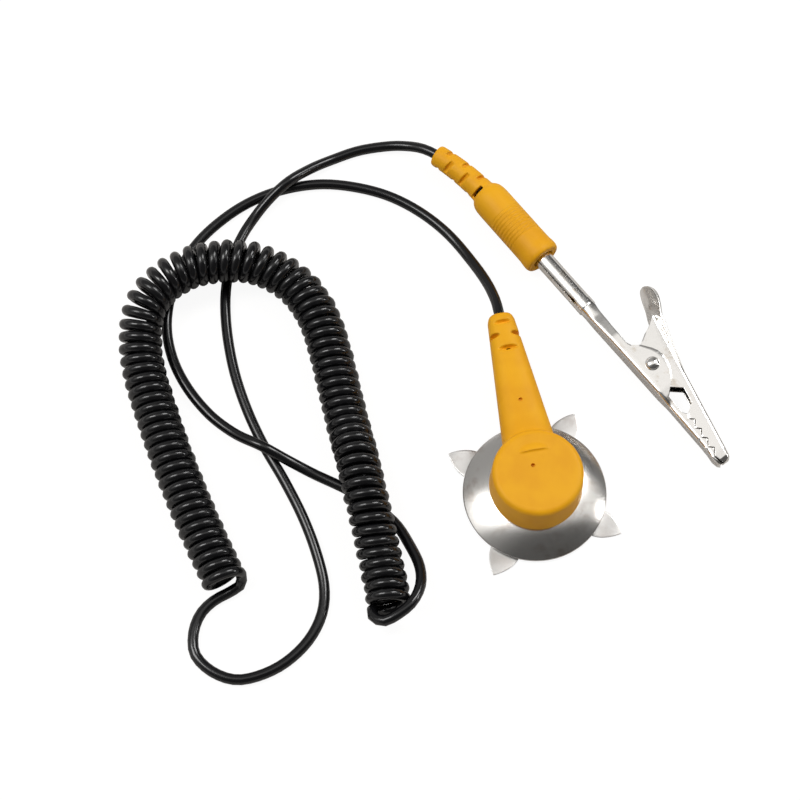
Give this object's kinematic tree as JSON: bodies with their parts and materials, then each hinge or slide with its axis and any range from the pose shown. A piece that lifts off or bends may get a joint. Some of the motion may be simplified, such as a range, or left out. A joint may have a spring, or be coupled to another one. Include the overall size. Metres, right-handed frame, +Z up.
{
  "type": "esd grounding lead",
  "caption": "Curly grounding lead with a moulded snap head on a clawed contact disc at one end and a moulded plug carrying an alligator clip at the other.",
  "frame": {"origin": "bottom centre of the box round the head, disc, plug and clip, on the surface the claws stand on", "axes": "+Z up along the snap's axis, away from the surface; the head's handle points roughly along +Y, and the plug and clip lie in the XY plane"},
  "size_m": [0.1286, 0.1237, 0.0138],
  "materials": {
    "yellow_pvc": "satin injection-moulded yellow vinyl",
    "black_pu": "glossy black polyurethane cord jacket",
    "stainless_sheet": "polished stainless sheet",
    "nickel_plate": "bright nickel plate",
    "brass": "bare brass and copper",
    "spring_steel": "drawn spring wire",
    "tinned_copper": "dull tin plate",
    "resistor_lacquer": "lacquered resistor body"
  },
  "bodies": {
    "lead": {"head_overmould": "yellow_pvc", "socket_cup": "nickel_plate", "solder_tab": "tinned_copper", "resistor_body": "resistor_lacquer", "resistor_lead_tab_side": "tinned_copper", "resistor_lead_cord_side": "tinned_copper", "head_crimp_sleeve": "tinned_copper", "head_conductor": "brass", "cord_tail_head": "black_pu", "curly_cord": "black_pu", "cord_tail_plug": "black_pu", "plug_overmould": "yellow_pvc", "plug_pin": "nickel_plate", "plug_ferrule": "tinned_copper", "plug_conductor": "brass"},
    "snap_ring": {"snap_ring_spring": "spring_steel"},
    "disc": {"snap_stud": "nickel_plate", "stud_eyelet": "brass", "contact_disc": "stainless_sheet", "claw_plate": "stainless_sheet"},
    "pin_cage": {"lantern_spring": "brass"},
    "clip": {"clip_fixed_jaw": "nickel_plate", "clip_rivet": "nickel_plate", "clip_spring": "spring_steel"},
    "jaw": {"clip_moving_jaw": "nickel_plate"}
  },
  "joints": [
    {"name": "snap_swivel", "type": "hinge", "parent": "lead", "child": "snap_ring", "pos_m": [-0.00965, -0.03111, 0.0061], "axis": [0, 0, 1], "continuous": true},
    {"name": "snap_pull", "type": "slide", "parent": "snap_ring", "child": "disc", "axis": [0, 0, -1], "range_m": [0, 0.006], "deforming": ["snap_ring_spring"]},
    {"name": "plug_swivel", "type": "hinge", "parent": "lead", "child": "pin_cage", "pos_m": [-0.0067, 0.02124, 0.0042], "axis": [0.6157, -0.788, 0], "continuous": true},
    {"name": "clip_pull", "type": "slide", "parent": "pin_cage", "child": "clip", "axis": [0.6157, -0.788, 0], "range_m": [0, 0.02]},
    {"name": "jaw_open", "type": "hinge", "parent": "clip", "child": "jaw", "pos_m": [0.0157, -0.00428, 0.0044], "axis": [-0.0824, -0.0644, 0.9945], "range_deg": [0, 27], "stiffness_Nm_per_rad": 0.12, "springref_deg": -28.65, "deforming": ["clip_spring"]}
  ]
}
